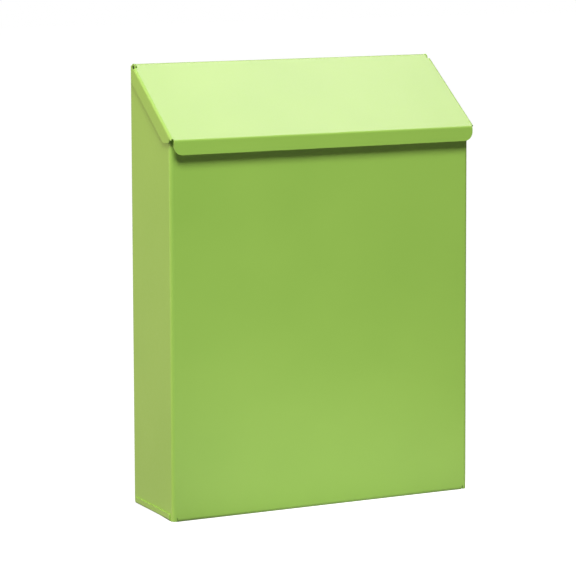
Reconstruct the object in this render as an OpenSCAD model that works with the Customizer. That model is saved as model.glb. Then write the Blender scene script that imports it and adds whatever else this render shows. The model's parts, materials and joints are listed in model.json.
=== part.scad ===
// Wall mounted mailbox of folded, powder coated sheet steel with a sloping lift-up lid.
// Millimetres. The wall is the plane Y = 0, the front faces -Y, +Z is up.
// The origin is the middle of the wall hole pattern, on the wall side of the back plate.

/* [Body] */
// width across the outside of the two side walls
body_w = 260; // [210:1:320]
// depth from the wall to the front face
body_d = 78; // [62:1:100]
// thickness of the steel sheet, coating included
sheet_t = 1; // [0.8:0.1:1.4]
// outside radius of the large vertical and bottom bends
body_bend_r = 3; // [2:0.25:5]
// outside radius of the small bends
small_bend_r = 2; // [1.6:0.1:3]
// width of the two flanges turned in behind the side walls
return_w = 14; // [9:0.5:20]
// depth of the flange turned under the front panel
foot_flange = 12; // [8:0.5:16]
// width of the rim folded back along the top of the front panel, along the slope
rim_w = 9; // [6:0.5:12]
// width of the relief slots at the ends of the front panel's two folds
bend_slot = 0.6; // [0.4:0.1:1.5]

/* [Lid] */
// downward slope of the lid, degrees
lid_slope = 35; // [28:0.5:42]
// how far the lip's face stands ahead of the front face
lip_out = 7.7; // [6:0.1:11]
// height of the folded front lip
lip_h = 11.3; // [9:0.1:16]
// radius of the lip's two lower corners
lip_corner_r = 7; // [4:0.25:9]
// depth of the lid's side flanges, square to the slope
flange_h = 12; // [9:0.25:16]
// clearance between a lid flange and the side wall beside it
flange_clear = 0.8; // [0.5:0.05:1.2]
// clearance between the rim and the underside of the closed lid
seat_gap = 2; // [1.6:0.1:3]
// radius of the round relief left open where the three folds of a front corner meet
relief_r = 2; // [1.6:0.1:2.8]
// distance of each relief's middle inside the sharp corner, along each of the three directions
relief_in = 0.4; // [0.2:0.1:1]
// distance of the side bends' front ends behind the lid's sharp front corner
bend_start = 2.2; // [1.8:0.1:2.4]
// distance of the side flanges' front ends behind the lip's face
flange_back = 5.2; // [4:0.1:7]
// how far the side flanges reach below the lid's sharp front corner
flange_drop = 2.6; // [1:0.1:5]
// radius of the lower corners of the side flanges
flange_corner_r = 3; // [1.5:0.25:4]
// length of the notch that clears the hinge ears, along the slope
ear_notch = 4.2; // [3.8:0.1:8]
// inside radius of that notch
notch_r = 1; // [0.4:0.1:1.2]

/* [Hinge] */
// height of the hinge axis above the underside of the box
hinge_h = 346.5; // [285:0.5:420]
// distance of the hinge axis from the wall
hinge_in = 8.2; // [7.8:0.1:11]
// diameter of the hinge rod
rod_d = 4; // [3:0.1:5]
// radial running clearance between the rod and the rolled lid edge
rod_clear = 0.05; // [0.02:0.01:0.1]
// radial clearance of the rod in the ears and of the grommets in their holes
snug_clear = 0.02; // [0.01:0.01:0.05]
// metal left around the rod's hole in each ear
ear_wall = 1.3; // [1:0.1:2]
// side clearance between the rolled edge and each ear
ear_clear = 0.5; // [0.3:0.05:1]
// how far the rod's ends sit below the outside of the ears
rod_recess = 0.5; // [0.2:0.05:0.8]

/* [Bottom and back] */
// height of the pan's side tabs above the pan's underside
tab_h = 5.3; // [4:0.1:9]
// distance of each tab's front and back end from the face beside it
tab_end = 5; // [4:0.25:10]
// how far the pan's front edge sits behind the front face
pan_setback = 7; // [5.5:0.25:9]
// height of the flange turned up at the back of the pan
pan_back_h = 12; // [8:0.5:18]
// diameter of the drain holes in the pan
drain_d = 4; // [3:0.25:6]
// distance of the drain holes from the side walls
drain_in = 22; // [14:1:40]
// height of the back plate's top above the hinge axis
back_top = 1.5; // [0.5:0.1:2]
// clearance between the back plate's top ledge and the rolled lid edge
ledge_clear = 0.75; // [0.5:0.05:1]
// clearance between the back plate's ledge and the side returns
ledge_side = 0.5; // [0.2:0.1:1]

/* [Wall holes] */
// distance between the left and right wall holes
hole_dx = 180; // [140:1:210]
// distance between the upper and lower wall holes
hole_dz = 160; // [120:1:200]
// distance of the upper wall holes below the hinge axis
hole_drop = 46.5; // [30:0.5:80]
// bore of the grommets, for a 5 mm screw
grommet_bore = 5.2; // [4.2:0.1:6.5]
// diameter of the grommet's neck, and of its hole
grommet_neck = 8; // [7:0.25:10]
// diameter of the grommet's flange inside the box
grommet_flange = 13; // [11:0.25:16]
// thickness of the grommet's flange
grommet_t = 1.5; // [1:0.1:2.5]

/* [Bumpers] */
// diameter of the rubber lid bumpers
bumper_d = 7; // [5:0.25:8]
// clearance left between a bumper and the closed lid
bumper_clear = 0.3; // [0.2:0.05:0.5]
// rounding at the bumper's top edge
bumper_edge = 0.6; // [0.3:0.05:0.8]
// distance of each bumper from the side wall
bumper_in = 34; // [20:1:60]

/* [Hidden] */
$fn = 64;
cs = cos(lid_slope);
sn = sin(lid_slope);
half = body_w / 2;
hole_top_h = hinge_h - hole_drop;
origin_h = hole_top_h - hole_dz / 2;
roll_ri = rod_d / 2 + rod_clear;
roll_ro = roll_ri + sheet_t;
ear_r = rod_d / 2 + ear_wall;
lid_half = half + flange_clear + sheet_t;
lid_tan = lid_half - small_bend_r;
roll_half = half - sheet_t - ear_clear;
turn = 90 - lid_slope;
// the lid's length from the rolled edge to the sharp corner over the lip
lid_len = (body_d + lip_out - hinge_in - roll_ro * sn) / cs;
lip_y = -(body_d + lip_out);
lip_z = hinge_h + roll_ro * cs - lid_len * sn;
// from a sharp corner to the end of its bend, for the two folds of this angle
bend_tan = small_bend_r * tan(turn / 2);
// the rim plane: parallel to the lid, measured square to it from the hinge axis
rim_v = roll_ro - sheet_t - seat_gap;
rim_z = hinge_h + (rim_v - (body_d - hinge_in) * sn) / cs;
back_z = hinge_h + back_top;
// the pan lies on the front panel's foot, and the side walls end above the pan's folds
pan_low = sheet_t;
wall_low = pan_low + small_bend_r;
corner_x = half - body_bend_r - bend_slot;
green = [0.58, 0.76, 0.34];
// flat steps in a fold's bend, how far folds run on over the flats that they join, and how far
// cutting shapes run past what they cut
arc_steps = 12;
lap = 2;
over = 1;

// a flat outline drawn in (Y, Z), drawn out to a given width along X about X = 0
module across(w) rotate([90, 0, 90]) linear_extrude(height = w, center = true) children();

// children in the lid's own directions: Y' back along the slope, Z' square to it, from the axis
module on_slope() translate([0, -hinge_in, hinge_h]) rotate([lid_slope, 0, 0]) children();

// children in the body's directions, for use inside on_slope
module upright() rotate([-lid_slope, 0, 0]) translate([0, hinge_in, -hinge_h]) children();

module placed() translate([0, 0, -origin_h]) children();

// a rounded oblong outline by its corners
module rounded(x0, y0, x1, y1, r) {
  translate([x0 + r, y0]) square([x1 - x0 - 2 * r, y1 - y0]);
  translate([x0, y0 + r]) square([x1 - x0, y1 - y0 - 2 * r]);
  for (x = [x0 + r, x1 - r], y = [y0 + r, y1 - r]) translate([x, y]) circle(r = r);
}

function along(a) = [-sin(a), cos(a)];
function spoke(a) = [cos(a), sin(a)];
function arc(c, r, a0, a1) =
  [for (i = [0:arc_steps]) c + r * spoke(a0 + (a1 - a0) * i / arc_steps)];

// outline of a strip of sheet folded once, seen from its edge: a flat leg, a bend about c whose
// outside turns from angle a0 to a1, and a second flat leg
function folded(c, r, a0, a1, leg0, leg1) = concat(
  [c + r * spoke(a0) - leg0 * along(a0)], arc(c, r, a0, a1), [c + r * spoke(a1) + leg1 * along(a1)],
  [c + (r - sheet_t) * spoke(a1) + leg1 * along(a1)], arc(c, r - sheet_t, a1, a0),
  [c + (r - sheet_t) * spoke(a0) - leg0 * along(a0)]);

// plan outline of the sheet that makes the front, the sides and the two returns
module shell_plan() {
  t = sheet_t;
  difference() {
    rounded(-half, -body_d, half, -t, body_bend_r);
    rounded(-half + t, -body_d + t, half - t, -2 * t, body_bend_r - t);
    translate([-half + return_w, -body_d / 2]) square([body_w - 2 * return_w, body_d]);
  }
}

// side view of everything the side walls may fill: rim slope, ear and square back corner
module side_view() {
  difference() {
    union() {
      translate([-body_d, wall_low]) square([body_d, back_z - wall_low]);
      // ahead of the pan's tabs the corners run down to the ground
      translate([-body_d, 0]) square([tab_end - bend_slot, wall_low + over]);
    }
    translate([-hinge_in, hinge_h]) rotate(lid_slope)
      translate([-2 * body_d, rim_v]) square([4 * body_d, back_z]);
  }
  translate([-hinge_in, hinge_h]) circle(r = ear_r);
}

// side view of the front panel with its folded foot and its folded rim
module front_strip() {
  r = body_bend_r;
  s = small_bend_r;
  panel = rim_z - r - s;
  polygon(folded([-body_d + r, r], r, 180, 270, panel, foot_flange - r));
  mirror([1, 0]) polygon(folded([body_d - s, rim_z - bend_tan], s, 0, turn, panel, rim_w - bend_tan));
}

module front_shell() placed() color(green) difference() {
  union() {
    difference() {
      intersection() {
        linear_extrude(height = hinge_h + 2 * ear_r) shell_plan();
        across(body_w + 2 * over) side_view();
      }
      // the flat front panel is drawn with its two folds below
      translate([-corner_x, -body_d - over, 0]) cube([2 * corner_x, sheet_t + 2 * over, hinge_h]);
    }
    across(2 * (corner_x - bend_slot)) front_strip();
    // the panel carries on to its corner bends between the relief slots of the two folds
    for (m = [0, 1]) mirror([m, 0, 0])
      translate([corner_x - 2 * bend_slot, -body_d, body_bend_r])
        cube([3 * bend_slot, sheet_t, rim_z - body_bend_r - small_bend_r]);
  }
  translate([0, -hinge_in, hinge_h]) rotate([0, 90, 0])
    cylinder(h = body_w + 2 * over, r = rod_d / 2 + snug_clear, center = true);
}

module bottom_pan() placed() color(green) difference() {
  s = small_bend_r;
  t = sheet_t;
  y0 = -body_d + pan_setback;
  union() {
    translate([-half + t, y0, pan_low]) cube([body_w - 2 * t, -t - s - y0, t]);
    // tabs turned up outside the side walls
    for (m = [0, 1]) mirror([m, 0, 0])
      translate([0, -tab_end - t, 0]) rotate([90, 0, 0])
        linear_extrude(height = body_d - 2 * tab_end - t)
          polygon(folded([half + t - s, pan_low + s], s, 270, 360, lap, tab_h - s));
    // flange turned up against the back plate, between the returns
    across(body_w - 2 * return_w - 2 * ledge_side)
      polygon(folded([-t - s, pan_low + s], s, 270, 360, lap, pan_back_h - s));
  }
  for (m = [0, 1], y = [-body_d + drain_in, -drain_in]) mirror([m, 0, 0])
    translate([half - drain_in, y, pan_low - over]) cylinder(h = t + 2 * over, d = drain_d);
}

module back_plate() placed() color(green) difference() {
  s = small_bend_r;
  t = sheet_t;
  ledge = hinge_in - roll_ro - ledge_clear;
  union() {
    translate([-half + body_bend_r, -t, 0])
      cube([body_w - 2 * body_bend_r, t, back_z - s]);
    across(body_w - 2 * return_w - 2 * ledge_side)
      polygon(folded([-s, back_z - s], s, 0, 90, lap, ledge - s));
  }
  for (x = [-1, 1], z = [0, 1])
    translate([x * hole_dx / 2, -t / 2, hole_top_h - z * hole_dz]) rotate([90, 0, 0])
      cylinder(h = t + 2 * over, r = grommet_neck / 2 + snug_clear, center = true);
}

// side view, in the lid's directions, of all that a side flange and its bend may fill
module flange_view() {
  r = flange_corner_r;
  s = small_bend_r;
  bottom = roll_ro - flange_h;
  top = roll_ro + over;
  front = lip_y + flange_back;
  low = lip_z - flange_drop;
  intersection() {
    union() {
      translate([-lid_len, bottom]) square([lid_len - ear_notch - r, top - bottom]);
      translate([-lid_len, bottom + r]) square([lid_len - ear_notch, top - bottom - r]);
      translate([-ear_notch - r, bottom + r]) circle(r = r);
    }
    union() {
      rotate(-lid_slope) translate([hinge_in, -hinge_h]) {
        translate([front + r, low]) square([body_d, hinge_h]);
        translate([front, low + r]) square([body_d, hinge_h]);
        translate([front + r, low + r]) circle(r = r);
      }
      // the bend itself runs on to the corner relief
      translate([-lid_len + bend_start, roll_ro - s]) square([lid_len / 2, s + over]);
    }
  }
}

module lid() placed() color(green) on_slope() difference() {
  s = small_bend_r;
  union() {
    // the skin, the bend over the front and the lip, a little too long
    across(2 * lid_tan)
      polygon(folded([-lid_len + bend_tan, roll_ro - s], s, 90, 90 + turn,
                     lid_len - bend_tan, lip_h - bend_tan + over));
    // side flanges and their bends
    intersection() {
      across(2 * lid_half + 2 * over) flange_view();
      for (m = [0, 1]) mirror([m, 0, 0])
        rotate([90, 0, 0]) linear_extrude(height = lid_len)
          polygon(folded([lid_tan, roll_ro - s], s, 0, 90, flange_h - s + over, lap));
    }
    // rolled back edge around the rod
    across(2 * roll_half) difference() {
      circle(r = roll_ro);
      circle(r = roll_ri);
      translate([-2 * roll_ro, 0]) square(2 * roll_ro);
    }
  }
  // the lip's lower edge and its two rounded corners
  upright() translate([0, lip_y + sheet_t + over, lip_z - lip_h]) rotate([90, 0, 0])
    linear_extrude(height = sheet_t + 2 * over) difference() {
      translate([-lid_half, -2 * over]) square([2 * lid_half, 2 * over + lip_corner_r]);
      rounded(-lid_tan, 0, lid_tan, 3 * lip_corner_r, lip_corner_r);
    }
  for (m = [0, 1]) mirror([m, 0, 0]) {
    // the skin is notched beside each ear
    linear_extrude(height = roll_ro + over) {
      translate([roll_half, -ear_notch + notch_r]) square([lid_half - roll_half, 2 * ear_notch]);
      translate([roll_half + notch_r, -ear_notch]) square([lid_half - roll_half, 2 * ear_notch]);
      translate([roll_half + notch_r, -ear_notch + notch_r]) circle(r = notch_r);
    }
    // round relief where the side bend meets the front bend
    translate([lid_half - relief_in, -lid_len + relief_in, roll_ro - relief_in]) sphere(r = relief_r);
  }
}

module hinge_rod() placed() color([0.7, 0.71, 0.72])
  translate([0, -hinge_in, hinge_h]) rotate([0, 90, 0])
    cylinder(h = body_w - 2 * rod_recess, d = rod_d, center = true);

// a stuck-on rubber pad on the rim; its foot lies on the rim plane
module bumper(side) {
  h = seat_gap - bumper_clear;
  r = bumper_d / 2;
  e = bumper_edge;
  u = (rim_w + bend_tan) / 2 - (body_d - hinge_in + rim_v * sn) / cs;
  placed() color([0.08, 0.08, 0.08]) on_slope()
    translate([side * (half - bumper_in), u, rim_v]) rotate_extrude() {
      square([r, h - e]);
      square([r - e, h]);
      intersection() {
        translate([r - e, h - e]) circle(r = e);
        square([r, h]);
      }
    }
}

module bumper_left() bumper(-1);
module bumper_right() bumper(1);

module wall_grommets() placed() color([0.1, 0.1, 0.1])
  for (x = [-1, 1], z = [0, 1])
    translate([x * hole_dx / 2, 0, hole_top_h - z * hole_dz]) rotate([90, 0, 0])
      difference() {
        union() {
          cylinder(h = sheet_t, d = grommet_neck);
          translate([0, 0, sheet_t]) cylinder(h = grommet_t, d = grommet_flange);
        }
        translate([0, 0, -over]) cylinder(h = sheet_t + grommet_t + 2 * over, d = grommet_bore);
      }

front_shell();
bottom_pan();
back_plate();
lid();
hinge_rod();
bumper_left();
bumper_right();
wall_grommets();
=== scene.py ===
import json
from math import cos, pi, radians, sin, tan

import bmesh
import bpy
from mathutils import Matrix, Vector


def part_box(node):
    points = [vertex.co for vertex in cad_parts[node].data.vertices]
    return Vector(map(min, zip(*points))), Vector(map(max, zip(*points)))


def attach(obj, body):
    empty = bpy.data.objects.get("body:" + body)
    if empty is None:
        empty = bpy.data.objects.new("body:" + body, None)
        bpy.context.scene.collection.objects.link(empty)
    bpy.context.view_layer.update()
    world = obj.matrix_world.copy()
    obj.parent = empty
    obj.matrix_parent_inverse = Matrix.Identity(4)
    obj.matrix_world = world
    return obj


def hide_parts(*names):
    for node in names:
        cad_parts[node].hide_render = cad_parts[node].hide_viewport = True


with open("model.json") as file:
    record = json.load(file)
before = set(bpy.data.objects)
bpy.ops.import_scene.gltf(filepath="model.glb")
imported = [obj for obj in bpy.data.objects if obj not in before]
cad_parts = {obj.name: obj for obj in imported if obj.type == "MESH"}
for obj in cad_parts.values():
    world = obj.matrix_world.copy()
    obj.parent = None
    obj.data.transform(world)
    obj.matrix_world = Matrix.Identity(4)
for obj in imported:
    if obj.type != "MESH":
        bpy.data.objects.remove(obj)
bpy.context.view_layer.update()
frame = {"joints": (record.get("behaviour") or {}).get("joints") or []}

# ---------------------------------------------------------------------------------------------
# Camera. The box is seen from its left and a little from above, through a long lens, so that
# the front, the left side wall and the whole slope of the lid show. The lens is shifted down, so
# that upright edges stay nearly upright.
shell_low, shell_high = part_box("front_shell")
view_azimuth, view_elevation, view_roll = radians(-26.134), radians(6.156), radians(-0.197)
view_distance = 2.198
view_aside, view_above = 0.0062, 0.2509
away = Vector((sin(view_azimuth) * cos(view_elevation), -cos(view_azimuth) * cos(view_elevation),
               sin(view_elevation)))
level = Vector((cos(view_azimuth), sin(view_azimuth), 0))
aside = (Matrix.Rotation(view_roll, 3, away) @ level).normalized()
above = away.cross(aside)
camera = bpy.data.objects.new("camera", bpy.data.cameras.new("camera"))
camera.data.lens = 168.4
camera.data.shift_y = -0.1895
camera.data.sensor_width = 36
underside = Vector((0, 0, shell_low.z))
place = underside + away * view_distance + aside * view_aside + above * view_above
camera.matrix_world = Matrix.Translation(place) @ Matrix((aside, above, away)).transposed().to_4x4()
bpy.context.scene.collection.objects.link(camera)
bpy.context.scene.camera = camera

# ---------------------------------------------------------------------------------------------
# Front shell. One sheet of 1 mm steel makes the front, both side walls and two flanges turned
# in behind them. Its foot and its rim are folded back between small relief slots, and each side
# wall ends in a round ear that holds the hinge rod. It is powder coated after it is folded.
tiny = 1e-5
sheet = 0.001
slope = radians(35)
fold_turn = pi / 2 - slope
large_bend, small_bend = 0.003, 0.002
large_steps, small_steps = 10, 8
hinge = Vector(frame["joints"][0]["pos_m"])
box_half = shell_high.x
front_y, inside_back_y = shell_low.y, -sheet
ground_z = shell_low.z
back_top_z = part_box("back_plate")[1].z
up_slope = Vector((0, cos(slope), sin(slope)))
off_slope = Vector((0, -sin(slope), cos(slope)))


def bare():
    """Leaves edit mode and deselects everything, because an operator acts on all that is selected."""
    if bpy.context.object and bpy.context.object.mode == "EDIT":
        bpy.ops.object.mode_set(mode="OBJECT")
    bpy.ops.object.select_all(action="DESELECT")


def blank(name, width, length, middle, turn=(0, 0, 0)):
    """Lays out a flat blank with no thickness, in place, and opens it for folding."""
    bare()
    bpy.ops.mesh.primitive_plane_add(size=1, location=middle, rotation=turn)
    piece = bpy.context.object
    piece.name = piece.data.name = name
    piece.scale = (width, length, 1)
    bpy.ops.object.transform_apply(location=True, rotation=True, scale=True)
    bpy.ops.object.mode_set(mode="EDIT")
    return piece


def select(where, kind="EDGE", along=None):
    """Selects the corners, edges or faces whose points and middle all pass, and, of edges, those
    that run along a direction."""
    bpy.ops.mesh.select_mode(type=kind)
    bpy.ops.mesh.select_all(action="DESELECT")
    mesh = bmesh.from_edit_mesh(bpy.context.object.data)
    found = {"VERT": mesh.verts, "EDGE": mesh.edges, "FACE": mesh.faces}[kind]
    for part in found:
        points = [part.co] if kind == "VERT" else [v.co for v in part.verts]
        middle = sum(points, Vector()) / len(points)
        if not all(where(p) for p in points + [middle]):
            continue
        if along and abs((points[0] - points[1]).normalized().dot(along)) < 0.999:
            continue
        part.select_set(True)
    mesh.select_flush_mode()
    bmesh.update_edit_mesh(bpy.context.object.data)


def cut(where, point, normal, drop=False):
    """Scores the passing faces along a plane, and can drop what lies on the normal's side."""
    select(where, "FACE")
    bpy.ops.mesh.bisect(plane_co=point, plane_no=normal, clear_outer=drop, threshold=tiny / 10)


def discard(where):
    """Cuts the passing faces out of the blank."""
    select(where, "FACE")
    bpy.ops.mesh.delete(type="FACE")


def pull(where, move, along=None):
    """Extrudes the passing edges into a new flange."""
    select(where, "EDGE", along)
    bpy.ops.mesh.extrude_region_move(TRANSFORM_OT_translate={"value": move})


def fold(where, radius, steps, along, turn=pi / 2):
    """Rounds a fold line to the outside radius of its bend."""
    select(where, "EDGE", along)
    bpy.ops.mesh.bevel(offset=radius * tan(turn / 2), segments=steps, profile=0.5, clamp_overlap=False)


def round_corner(where, radius, steps=6):
    """Rounds the passing corners of a flat outline."""
    select(where, "VERT")
    bpy.ops.mesh.bevel(offset=radius, segments=steps, affect="VERTICES", clamp_overlap=True)


def merge():
    """Joins the corners that fell on the same place."""
    bpy.ops.mesh.select_all(action="SELECT")
    bpy.ops.mesh.remove_doubles(threshold=tiny / 10)


def carve(piece, tool, how="DIFFERENCE"):
    """Cuts a tool's shape out of a piece, or welds it on, and removes the tool."""
    bare()
    bpy.context.view_layer.objects.active = piece
    piece.select_set(True)
    cutter = piece.modifiers.new("cut", "BOOLEAN")
    cutter.operation, cutter.object, cutter.solver = how, tool, "EXACT"
    bpy.ops.object.modifier_apply(modifier=cutter.name)
    bpy.data.objects.remove(tool)


def drill(radius, length, middle, turn=(0, 0, 0), steps=48):
    """A round tool, lying in place."""
    bare()
    bpy.ops.mesh.primitive_cylinder_add(vertices=steps, radius=radius, depth=length,
                                        location=middle, rotation=turn)
    bpy.ops.object.transform_apply(location=True, rotation=True, scale=True)
    return bpy.context.object


def thicken(piece):
    """Gives a folded blank its sheet's thickness, inwards from the outer skin."""
    bare()
    bpy.context.view_layer.objects.active = piece
    wall = piece.modifiers.new("sheet", "SOLIDIFY")
    wall.thickness, wall.offset, wall.use_even_offset = sheet, -1, True
    bpy.ops.object.modifier_apply(modifier=wall.name)


def finish_edges(piece, radius=0.00018, steps=2, sharp=35):
    """Softens every cut edge as the coating does, then shades bends smooth and flats flat."""
    bare()
    bpy.context.view_layer.objects.active = piece
    piece.select_set(True)
    edge = piece.modifiers.new("edge", "BEVEL")
    edge.width, edge.segments, edge.limit_method = radius, steps, "ANGLE"
    edge.angle_limit = radians(sharp)
    edge.use_clamp_overlap = True
    bpy.ops.object.modifier_apply(modifier=edge.name)
    bpy.ops.object.shade_smooth_by_angle(angle=radians(sharp))
    normals = piece.modifiers.new("normals", "WEIGHTED_NORMAL")
    normals.keep_sharp, normals.weight = True, 80
    bpy.ops.object.modifier_apply(modifier=normals.name)


rim_gap = 0.002
rod_radius, roll_clear = 0.002, 0.00005
roll_out = rod_radius + roll_clear + sheet
rim_point = hinge + off_slope * (roll_out - sheet - rim_gap)
rim_z = rim_point.z + (front_y - rim_point.y) * tan(slope)
return_width = 0.014
shell = blank("front_shell_coated", 2 * box_half, back_top_z - ground_z,
              (0, front_y, (back_top_z + ground_z) / 2), (pi / 2, 0, 0))
for side in (-1, 1):
    pull(lambda p: abs(p.x - side * box_half) < tiny, (0, inside_back_y - front_y, 0), Vector((0, 0, 1)))
for side in (-1, 1):
    pull(lambda p: abs(p.x - side * box_half) < tiny and p.y > inside_back_y - tiny,
         (-side * return_width, 0, 0), Vector((0, 0, 1)))
fold(lambda p: abs(abs(p.x) - box_half) < tiny and abs(p.y) > tiny, large_bend, large_steps,
     Vector((0, 0, 1)))
cut(lambda p: True, rim_point, off_slope, drop=True)
# the side walls end above the pan's folds, except at the two front corners
wall_foot_z = ground_z + sheet + small_bend
corner_foot_y = front_y + 0.0044
cut(lambda p: p.y > front_y + large_bend - tiny, (0, 0, wall_foot_z), (0, 0, 1))
cut(lambda p: p.z < wall_foot_z + tiny and p.y > front_y + large_bend - tiny,
    (0, corner_foot_y, 0), (0, 1, 0))
discard(lambda p: p.z < wall_foot_z + tiny and p.y > corner_foot_y - tiny)
# relief slots at both ends of the foot's and the rim's fold
slot = 0.0006
fold_half = box_half - large_bend - 2 * slot
slot_top, slot_low = rim_z - 0.002, ground_z + large_bend + slot
for x in (-fold_half - slot, -fold_half, fold_half, fold_half + slot):
    cut(lambda p: abs(p.y - front_y) < tiny, (x, 0, 0), (1, 0, 0))
for z in (slot_low, slot_top):
    cut(lambda p: abs(p.y - front_y) < tiny and fold_half - tiny < abs(p.x) < fold_half + slot + tiny,
        (0, 0, z), (0, 0, 1))
discard(lambda p: fold_half - tiny < abs(p.x) < fold_half + slot + tiny and p.z < slot_low + tiny)
discard(lambda p: fold_half - tiny < abs(p.x) < fold_half + slot + tiny and p.z > slot_top - tiny
        and p.y < front_y + tiny)
# the corners outside the slots are trimmed a little, clear of the ground
post_foot_z = ground_z + 0.0008
cut(lambda p: abs(p.x) > fold_half + slot - tiny, (0, 0, post_foot_z), (0, 0, 1))
discard(lambda p: abs(p.x) > fold_half + slot - tiny and p.z < post_foot_z + tiny)
foot_width, rim_width = 0.012, 0.009
across = Vector((1, 0, 0))
pull(lambda p: abs(p.z - ground_z) < tiny and abs(p.x) < fold_half + tiny, (0, foot_width, 0), across)
fold(lambda p: abs(p.z - ground_z) < tiny and abs(p.y - front_y) < tiny and abs(p.x) < fold_half + tiny,
     large_bend, large_steps, across)
pull(lambda p: abs(p.z - rim_z) < tiny and abs(p.y - front_y) < tiny and abs(p.x) < fold_half + tiny,
     up_slope * rim_width, across)
fold(lambda p: abs(p.z - rim_z) < tiny and abs(p.y - front_y) < tiny and abs(p.x) < fold_half + tiny,
     small_bend, small_steps, across, fold_turn)
thicken(shell)
# an ear stands on each side wall around the hinge rod
ear_radius = rod_radius + 0.0013
for side in (-1, 1):
    carve(shell, drill(ear_radius, sheet, hinge + across * side * (box_half - sheet / 2),
                       (0, pi / 2, 0), 64), "UNION")
carve(shell, drill(rod_radius + 0.00002, 3 * box_half, hinge, (0, pi / 2, 0)))
finish_edges(shell)


def effect_group(name, inputs, outputs):
    """Starts a group of shader nodes with named number and vector sockets."""
    group = bpy.data.node_groups.new(name, "ShaderNodeTree")
    for label, kind, value in inputs:
        socket = group.interface.new_socket(label, in_out="INPUT", socket_type="NodeSocket" + kind)
        if value is not None:
            socket.default_value = value
    for label, kind in outputs:
        group.interface.new_socket(label, in_out="OUTPUT", socket_type="NodeSocket" + kind)
    return group, group.nodes.new("NodeGroupInput"), group.nodes.new("NodeGroupOutput")


def noise(tree, where, scale, detail=2.0, roughness=0.5):
    """A noise pattern on the given coordinates."""
    pattern = tree.nodes.new("ShaderNodeTexNoise")
    pattern.inputs["Detail"].default_value = detail
    pattern.inputs["Roughness"].default_value = roughness
    tree.links.new(where, pattern.inputs["Vector"])
    if hasattr(scale, "default_value"):
        tree.links.new(scale, pattern.inputs["Scale"])
    else:
        pattern.inputs["Scale"].default_value = scale
    return pattern.outputs["Fac"]


def spread(tree, value, low, high):
    """Maps a pattern's middle range onto low to high."""
    node = tree.nodes.new("ShaderNodeMapRange")
    node.inputs["From Min"].default_value, node.inputs["From Max"].default_value = 0.3, 0.7
    node.inputs["To Min"].default_value, node.inputs["To Max"].default_value = low, high
    tree.links.new(value, node.inputs["Value"])
    return node.outputs["Result"]


def blend_colours(tree, how_much, first, second):
    """Mixes two colours by a mask."""
    node = tree.nodes.new("ShaderNodeMix")
    node.data_type = "RGBA"
    tree.links.new(how_much, node.inputs["Factor"])
    node.inputs["A"].default_value, node.inputs["B"].default_value = (*first, 1), (*second, 1)
    return node.outputs["Result"]


def orange_peel():
    """The skin of baked powder: shallow dimples a few millimetres across and a finer grain, as one
    height, and slow swells of the sheet as a mask of where the coat lies thicker."""
    group, source, result = effect_group(
        "orange_peel",
        [("Vector", "Vector", None), ("Dimple Scale", "Float", 420.0), ("Grain Scale", "Float", 1900.0),
         ("Swell Scale", "Float", 11.0)],
        [("Height", "Float"), ("Thick", "Float")])
    dimples = noise(group, source.outputs["Vector"], source.outputs["Dimple Scale"], 1.5)
    grain = noise(group, source.outputs["Vector"], source.outputs["Grain Scale"], 1.0)
    swells = noise(group, source.outputs["Vector"], source.outputs["Swell Scale"], 2.0)
    fine = group.nodes.new("ShaderNodeMath")
    fine.operation = "MULTIPLY_ADD"
    group.links.new(grain, fine.inputs[0])
    fine.inputs[1].default_value = 0.22
    group.links.new(dimples, fine.inputs[2])
    group.links.new(fine.outputs[0], result.inputs["Height"])
    group.links.new(swells, result.inputs["Thick"])
    return group


def green_coat():
    """Satin powder coat in a fresh yellow green."""
    material = bpy.data.materials.new("green_powder_coat")
    material.use_nodes = True
    tree = material.node_tree
    shader = tree.nodes["Principled BSDF"]
    place = tree.nodes.new("ShaderNodeTexCoord").outputs["Object"]
    peel = tree.nodes.new("ShaderNodeGroup")
    peel.node_tree = orange_peel()
    for label, value in (("Dimple Scale", 420.0), ("Grain Scale", 1900.0), ("Swell Scale", 11.0)):
        peel.inputs[label].default_value = value
    tree.links.new(place, peel.inputs["Vector"])
    thick = spread(tree, peel.outputs["Thick"], 0.0, 1.0)
    tree.links.new(blend_colours(tree, thick, (0.266, 0.470, 0.071), (0.284, 0.492, 0.077)),
                   shader.inputs["Base Color"])
    tree.links.new(spread(tree, peel.outputs["Height"], 0.30, 0.37), shader.inputs["Roughness"])
    shader.inputs["IOR"].default_value = 1.5
    bump = tree.nodes.new("ShaderNodeBump")
    bump.inputs["Strength"].default_value = 0.35
    bump.inputs["Distance"].default_value = 0.00006
    tree.links.new(peel.outputs["Height"], bump.inputs["Height"])
    tree.links.new(bump.outputs["Normal"], shader.inputs["Normal"])
    return material


coat = green_coat()


def hang(piece, material, body, slot_name, *nodes):
    """Gives a finished piece its finish and its body, and hides the CAD nodes that it stands for."""
    piece.data.materials.clear()
    piece.data.materials.append(material)
    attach(piece, body)
    if nodes:
        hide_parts(*nodes)


hang(shell, coat, "box", "green_coat", "front_shell")

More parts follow.
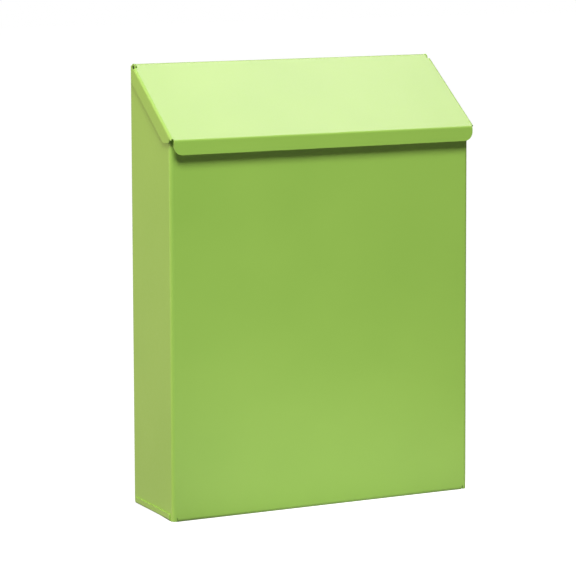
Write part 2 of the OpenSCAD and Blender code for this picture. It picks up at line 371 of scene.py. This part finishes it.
# ---------------------------------------------------------------------------------------------
# Bottom pan. A second sheet closes the box from below. Its two tabs are turned up outside the
# side walls and spot welded to them, its back flange is turned up against the back plate, and
# four drain holes let rain out.
pan_low, pan_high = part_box("bottom_pan")
pan_half = pan_high.x
tab_front_y, tab_back_y = pan_low.y - 0.002, -0.006
floor_front_y = front_y + 0.007
tab_front_y = front_y + 0.005
tab_height, pan_back_height = 0.0053, pan_high.z - pan_low.z
pan_back_half = box_half - return_width - 0.0005
pan = blank("bottom_pan_coated", 2 * pan_half, -sheet - tab_front_y,
            (0, (tab_front_y - sheet) / 2, pan_low.z), (pi, 0, 0))
floor_half = pan_half - small_bend
for y in (floor_front_y, tab_back_y, -sheet - small_bend):
    cut(lambda p: True, (0, y, 0), (0, 1, 0))
for x in (-floor_half, -pan_back_half, pan_back_half, floor_half):
    cut(lambda p: True, (x, 0, 0), (1, 0, 0))
discard(lambda p: p.y < floor_front_y + tiny and abs(p.x) < floor_half + tiny)
discard(lambda p: p.y > tab_back_y - tiny and abs(p.x) > floor_half - tiny)
discard(lambda p: p.y > -sheet - small_bend - tiny and abs(p.x) > pan_back_half - tiny)
fore = Vector((0, 1, 0))
pull(lambda p: abs(abs(p.x) - pan_half) < tiny, (0, 0, tab_height), fore)
pull(lambda p: p.y > -sheet - tiny and abs(p.z - pan_low.z) < tiny, (0, 0, pan_back_height), across)
fold(lambda p: abs(abs(p.x) - pan_half) < tiny and abs(p.z - pan_low.z) < tiny, small_bend,
     small_steps, fore)
fold(lambda p: p.y > -sheet - tiny and abs(p.z - pan_low.z) < tiny, small_bend, small_steps, across)
round_corner(lambda p: abs(abs(p.x) - pan_half) < tiny and p.z > pan_low.z + tab_height - tiny, 0.0012)
round_corner(lambda p: p.z > pan_high.z - tiny, 0.004)
thicken(pan)
drain_radius, drain_in = 0.002, 0.022
for x in (drain_in - box_half, box_half - drain_in):
    for y in (front_y + drain_in, -drain_in):
        carve(pan, drill(drain_radius, 4 * sheet, (x, y, pan_low.z + sheet / 2), steps=32))
finish_edges(pan)
hang(pan, coat, "box", "green_coat", "bottom_pan")

# ---------------------------------------------------------------------------------------------
# Back plate. A flat sheet closes the back and lies against the wall. Its top edge is folded
# forward into a stiffening ledge behind the hinge, and its four holes take the wall screws.
plate_low, plate_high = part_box("back_plate")
grommets_low, grommets_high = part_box("wall_grommets")
flange_radius = 0.0065
hole_x = grommets_high.x - flange_radius
hole_z = grommets_high.z - flange_radius
neck_radius = 0.004
plate = blank("back_plate_coated", plate_high.x - plate_low.x, plate_high.z - plate_low.z,
              (0, 0, (plate_low.z + plate_high.z) / 2), (-pi / 2, 0, 0))
ledge_half = pan_back_half
shoulder_z = plate_high.z - small_bend - slot
for x in (-ledge_half, ledge_half):
    cut(lambda p: True, (x, 0, 0), (1, 0, 0))
cut(lambda p: abs(p.x) > ledge_half - tiny, (0, 0, shoulder_z), (0, 0, 1))
discard(lambda p: abs(p.x) > ledge_half - tiny and p.z > shoulder_z - tiny)
pull(lambda p: p.z > plate_high.z - tiny, (0, plate_low.y, 0), across)
fold(lambda p: p.z > plate_high.z - tiny and abs(p.y) < tiny, small_bend, small_steps, across)
round_corner(lambda p: abs(p.x) > box_half - 0.004 and abs(p.y) < tiny, 0.002)
merge()
thicken(plate)
for x in (-hole_x, hole_x):
    for z in (-hole_z, hole_z):
        carve(plate, drill(neck_radius + 0.00002, 4 * sheet, (x, 0, z), (pi / 2, 0, 0)))
finish_edges(plate)
hang(plate, coat, "box", "green_coat", "back_plate")

# ---------------------------------------------------------------------------------------------
# Lid. One sheet: a sloping skin with a lip folded down along the front, a flange down each side,
# an open round relief where three folds meet, and a back edge rolled around the hinge rod.
lid_low, lid_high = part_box("lid")
lid_half = lid_high.x
skin_half = lid_half - small_bend
roll_half = box_half - sheet - 0.0005
lid_length = (hinge.y - lid_low.y - roll_out * sin(slope)) / cos(slope)
lip_height, lip_corner = 0.0113, 0.007
flange_depth, flange_corner = 0.012, 0.003
notch_length, notch_corner = 0.0042, 0.001
bend_start, relief_radius, relief_in = 0.0022, 0.002, 0.0004
# laid out level about the hinge axis, and tilted into place when it is whole
lid = blank("lid_coated", 2 * lid_half, lid_length, (0, -lid_length / 2, roll_out))
for y in (-notch_length, bend_start - lid_length):
    cut(lambda p: True, (0, y, 0), (0, 1, 0))
for side in (-1, 1):
    cut(lambda p: True, (side * skin_half, 0, 0), (1, 0, 0))
    cut(lambda p: p.y > -notch_length - tiny, (side * roll_half, 0, 0), (1, 0, 0))
discard(lambda p: p.y > -notch_length - tiny and abs(p.x) > roll_half - tiny)
discard(lambda p: p.y < bend_start - lid_length + tiny and abs(p.x) > skin_half - tiny)
round_corner(lambda p: abs(abs(p.x) - roll_half) < tiny and abs(p.y + notch_length) < tiny, notch_corner)
pull(lambda p: abs(abs(p.x) - lid_half) < tiny, (0, 0, -flange_depth), fore)
fold(lambda p: abs(abs(p.x) - lid_half) < tiny and abs(p.z - roll_out) < tiny, small_bend, small_steps, fore)
lip_way = Vector((0, -cos(fold_turn), -sin(fold_turn)))
pull(lambda p: p.y < tiny - lid_length, lip_way * lip_height, across)
fold(lambda p: abs(p.y + lid_length) < tiny and abs(p.z - roll_out) < tiny, small_bend, small_steps,
     across, fold_turn)
lip_end = Vector((0, -lid_length, roll_out)) + lip_way * lip_height
round_corner(lambda p: abs(p.y - lip_end.y) < tiny, lip_corner, 14)
# the side flanges stop short of the lip, on an upright line, with their corners rounded
down, ahead = Vector((0, -sin(slope), -cos(slope))), Vector((0, -cos(slope), sin(slope)))
sharp_corner = Vector((0, -lid_length, roll_out))
flange_top = roll_out - small_bend


def on_flange(p):
    return abs(abs(p.x) - lid_half) < tiny and p.z < flange_top + tiny


cut(on_flange, sharp_corner - ahead * 0.0052, ahead)
front_line = (sharp_corner - ahead * 0.0052).dot(ahead)
discard(lambda p: on_flange(p) and p.dot(ahead) > front_line - tiny)
cut(on_flange, sharp_corner + down * 0.0026, down)
low_line = (sharp_corner + down * 0.0026).dot(down)
discard(lambda p: on_flange(p) and p.dot(down) > low_line - tiny)
round_corner(lambda p: on_flange(p) and abs(p.dot(ahead) - front_line) < tiny
             and abs(p.dot(down) - low_line) < tiny, 0.003, 8)
round_corner(lambda p: on_flange(p) and abs(p.y + notch_length) < tiny
             and p.z < roll_out - flange_depth + tiny, flange_corner, 8)
# three quarters of a turn around the rod
select(lambda p: p.y > -tiny and abs(p.z - roll_out) < tiny, "EDGE", across)
bpy.ops.mesh.spin(steps=30, angle=radians(270), center=(0, 0, 0), axis=(1, 0, 0))
merge()
thicken(lid)
for side in (-1, 1):
    bare()
    bpy.ops.mesh.primitive_uv_sphere_add(segments=48, ring_count=24, radius=relief_radius, location=(
        side * (lid_half - relief_in), relief_in - lid_length, roll_out - relief_in))
    carve(lid, bpy.context.object)
bare()
bpy.context.view_layer.objects.active = lid
lid.select_set(True)
lid.rotation_euler.x = slope
lid.location = hinge
bpy.ops.object.transform_apply(location=True, rotation=True, scale=True)
finish_edges(lid)
hang(lid, coat, "lid", "green_coat", "lid")

# ---------------------------------------------------------------------------------------------
# Hinge rod. Drawn steel rod, cut to length, its ends chamfered, black zinc plated.
rod_low, rod_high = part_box("hinge_rod")
rod = drill(rod_radius, rod_high.x - rod_low.x, hinge, (0, pi / 2, 0), 40)
rod.name = rod.data.name = "hinge_rod_plated"
finish_edges(rod, 0.0004, 3, 60)


def zinc():
    """Black zinc plate with fine drawing marks along the rod and dull spots."""
    material = bpy.data.materials.new("zinc_plate")
    material.use_nodes = True
    tree = material.node_tree
    shader = tree.nodes["Principled BSDF"]
    place = tree.nodes.new("ShaderNodeTexCoord").outputs["Object"]
    marks = tree.nodes.new("ShaderNodeMapping")
    marks.inputs["Scale"].default_value = (0.04, 1, 1)
    tree.links.new(place, marks.inputs["Vector"])
    drawn = noise(tree, marks.outputs["Vector"], 3500, 3)
    spots = noise(tree, place, 260, 3)
    tree.links.new(blend_colours(tree, spread(tree, spots, 0, 1), (0.045, 0.047, 0.052), (0.075, 0.078, 0.085)),
                   shader.inputs["Base Color"])
    tree.links.new(spread(tree, drawn, 0.26, 0.42), shader.inputs["Roughness"])
    shader.inputs["Metallic"].default_value = 1
    bump = tree.nodes.new("ShaderNodeBump")
    bump.inputs["Strength"].default_value = 0.2
    bump.inputs["Distance"].default_value = 0.00002
    tree.links.new(drawn, bump.inputs["Height"])
    tree.links.new(bump.outputs["Normal"], shader.inputs["Normal"])
    return material


hang(rod, zinc(), "box", "plated_steel", "hinge_rod")

# ---------------------------------------------------------------------------------------------
# Lid bumpers. Two small pads of moulded rubber, stuck on the rim so that the lid closes quietly.
# Each has a rounded top edge and a shallow dish in its face.
bumper_radius, bumper_height = 0.0035, 0.0017


def rubber():
    """Matt black rubber with a fine moulded grain and a little bloom."""
    material = bpy.data.materials.new("black_rubber")
    material.use_nodes = True
    tree = material.node_tree
    shader = tree.nodes["Principled BSDF"]
    place = tree.nodes.new("ShaderNodeTexCoord").outputs["Object"]
    grain = noise(tree, place, 2600, 2)
    bloom = noise(tree, place, 170, 3)
    tree.links.new(blend_colours(tree, spread(tree, bloom, 0, 1), (0.017, 0.017, 0.018), (0.034, 0.034, 0.033)),
                   shader.inputs["Base Color"])
    tree.links.new(spread(tree, grain, 0.58, 0.74), shader.inputs["Roughness"])
    bump = tree.nodes.new("ShaderNodeBump")
    bump.inputs["Strength"].default_value = 0.4
    bump.inputs["Distance"].default_value = 0.00004
    tree.links.new(grain, bump.inputs["Height"])
    tree.links.new(bump.outputs["Normal"], shader.inputs["Normal"])
    return material


black_rubber = rubber()


def moulded(name, radius, height, steps, shape, turn, middle):
    """A round rubber moulding: a disc shaped from its top face, turned upright and set in place."""
    piece = drill(radius, height, (0, 0, height / 2), steps=steps)
    piece.name = piece.data.name = name
    bpy.ops.object.mode_set(mode="EDIT")
    select(lambda p: p.z > height - tiny, "FACE")
    shape()
    bare()
    bpy.context.view_layer.objects.active = piece
    piece.select_set(True)
    piece.rotation_euler, piece.location = turn, middle
    bpy.ops.object.transform_apply(location=True, rotation=True, scale=True)
    return piece


def dish():
    bpy.ops.mesh.inset(thickness=0.0011)
    bpy.ops.mesh.inset(thickness=0.0003, depth=-0.00035)
    bpy.ops.mesh.inset(thickness=0.0012, depth=-0.0001)


for name in ("bumper_left", "bumper_right"):
    low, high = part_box(name)
    middle = (low + high) / 2 - off_slope * bumper_height / 2
    bumper = moulded(name + "_moulded", bumper_radius, bumper_height, 48, dish, (slope, 0, 0), middle)
    finish_edges(bumper, 0.0003, 3, 50)
    hang(bumper, black_rubber, "box", "black_rubber", name)

# ---------------------------------------------------------------------------------------------
# Wall grommets. Four rubber washers pushed into the wall holes from inside. They seal the screws
# and keep the heads off the coating; a shallow groove round the bore frames the screw's seat.
bore_radius, flange_thick = 0.0026, 0.0015


def collar():
    """Cuts a shallow groove round the head's seat, adds the neck behind and opens the bore."""
    bpy.ops.mesh.inset(thickness=0.0011)
    bpy.ops.mesh.inset(thickness=0.0003, depth=-0.0003)
    bpy.ops.mesh.inset(thickness=0.0004)
    bpy.ops.mesh.inset(thickness=0.0003, depth=0.0003)
    bpy.ops.mesh.inset(thickness=flange_radius - bore_radius - 0.0021)
    select(lambda p: abs(p.z) < tiny, "FACE")
    bpy.ops.mesh.inset(thickness=flange_radius - neck_radius)
    bpy.ops.mesh.extrude_region_move(TRANSFORM_OT_translate={"value": (0, 0, -sheet)})
    bpy.ops.mesh.inset(thickness=neck_radius - bore_radius)
    select(lambda p: p.xy.length < bore_radius + tiny, "FACE")
    bpy.ops.mesh.bridge_edge_loops()


for number, (x, z) in enumerate(((-hole_x, hole_z), (hole_x, hole_z), (-hole_x, -hole_z), (hole_x, -hole_z))):
    washer = moulded(f"wall_grommet_{number + 1}", flange_radius, flange_thick, 56, collar,
                     (pi / 2, 0, 0), (x, -sheet, z))
    finish_edges(washer, 0.0002, 3, 40)
    hang(washer, black_rubber, "box", "black_rubber", *(["wall_grommets"] if number == 0 else []))

# ---------------------------------------------------------------------------------------------
# Studio. A pale floor under the box, a white surround, a large soft key from the front left, a
# soft box overhead that the lid mirrors, a narrow edge light high on the left, and a broad side light
# from the left that the coat does not mirror.
# The floor carries painted light: for bounced light its colour is a pale painted pool in front of the box with
# near-black painted shade around it, and it glows faintly to reflection rays as a painted reflection.


def soft_light(name, azimuth, elevation, distance, width, height, power, tint=(1, 1, 1), mirrored=True):
    """A rectangular soft light that looks at the box from the given direction."""
    a, e = radians(azimuth), radians(elevation)
    way = Vector((sin(a) * cos(e), -cos(a) * cos(e), sin(e)))
    lamp = bpy.data.objects.new(name, bpy.data.lights.new(name, "AREA"))
    lamp.data.shape, lamp.data.size, lamp.data.size_y = "RECTANGLE", width, height
    lamp.data.energy, lamp.data.color = power, tint
    lamp.visible_glossy = mirrored
    lamp.location = Vector((0, front_y / 2, 0)) + way * distance
    lamp.rotation_euler = way.to_track_quat("Z", "Y").to_euler()
    bpy.context.scene.collection.objects.link(lamp)


soft_light("key", -25, 46, 2.6, 1.0, 1.0, 84)
soft_light("overhead", 111, 63.5, 1.6, 1.0, 0.78, 14.2, (0.93, 0.70, 1.0))
soft_light("edge", -113, 62, 1.6, 0.4, 1.2, 4.5, (0.93, 0.74, 1.0))
soft_light("side", -112, 14, 2.2, 1.5, 1.5, 51, (1.0, 0.75, 0.98), mirrored=False)

world = bpy.data.worlds.new("surround")
world.use_nodes = True
bpy.context.scene.world = world
sky = world.node_tree.nodes["Background"]
seen = world.node_tree.nodes.new("ShaderNodeLightPath").outputs["Is Camera Ray"]
brightness = world.node_tree.nodes.new("ShaderNodeMapRange")
brightness.inputs["To Min"].default_value, brightness.inputs["To Max"].default_value = 0.04, 1.0
world.node_tree.links.new(seen, brightness.inputs["Value"])
world.node_tree.links.new(brightness.outputs["Result"], sky.inputs["Strength"])
sky.inputs["Color"].default_value = (1, 1, 1, 1)

bare()
bpy.ops.mesh.primitive_plane_add(size=14, location=(0, 0, ground_z))
ground = bpy.context.object
ground.name = "studio_floor"
bpy.ops.object.transform_apply(location=True, rotation=True, scale=True)
paint = bpy.data.materials.new("studio_floor")
paint.use_nodes = True
tree = paint.node_tree
matt = tree.nodes["Principled BSDF"]
matt.inputs["Roughness"].default_value = 0.8
rays = tree.nodes.new("ShaderNodeLightPath")
# Painted light pool: the floor's colour is pale within a ring in front of the box and near-black outside it, so
# that bounced light brightens the box's lower front and leaves painted shade elsewhere.
reach = tree.nodes.new("ShaderNodeVectorMath")
reach.operation = "DISTANCE"
tree.links.new(tree.nodes.new("ShaderNodeTexCoord").outputs["Object"], reach.inputs[0])
reach.inputs[1].default_value = (0.03, -0.26, ground_z)
painted_light_pool = tree.nodes.new("ShaderNodeMapRange")
painted_light_pool.interpolation_type = "SMOOTHSTEP"
painted_light_pool.inputs["From Min"].default_value, painted_light_pool.inputs["From Max"].default_value = 0.14, 0.30
painted_light_pool.inputs["To Min"].default_value, painted_light_pool.inputs["To Max"].default_value = 1, 0
tree.links.new(reach.outputs["Value"], painted_light_pool.inputs["Value"])
# pale painted pool of light near the box, near-black painted shade around it
tree.links.new(blend_colours(tree, painted_light_pool.outputs["Result"], (0.05, 0.05, 0.05), (0.72, 0.72, 0.64)),
               matt.inputs["Base Color"])
# Emission: evenly white to the camera, and a quarter of that to reflection rays, a painted reflection that the
# box's coat mirrors though the floor is no lamp.
matt.inputs["Emission Color"].default_value = (1, 1, 1, 1)
camera_white_and_painted_reflection_glow = tree.nodes.new("ShaderNodeMath")
camera_white_and_painted_reflection_glow.operation = "MULTIPLY_ADD"
tree.links.new(rays.outputs["Is Glossy Ray"], camera_white_and_painted_reflection_glow.inputs[0])
camera_white_and_painted_reflection_glow.inputs[1].default_value = 0.25
tree.links.new(rays.outputs["Is Camera Ray"], camera_white_and_painted_reflection_glow.inputs[2])
tree.links.new(camera_white_and_painted_reflection_glow.outputs[0], matt.inputs["Emission Strength"])
ground.data.materials.append(paint)
bpy.context.scene.view_settings.view_transform = "Standard"
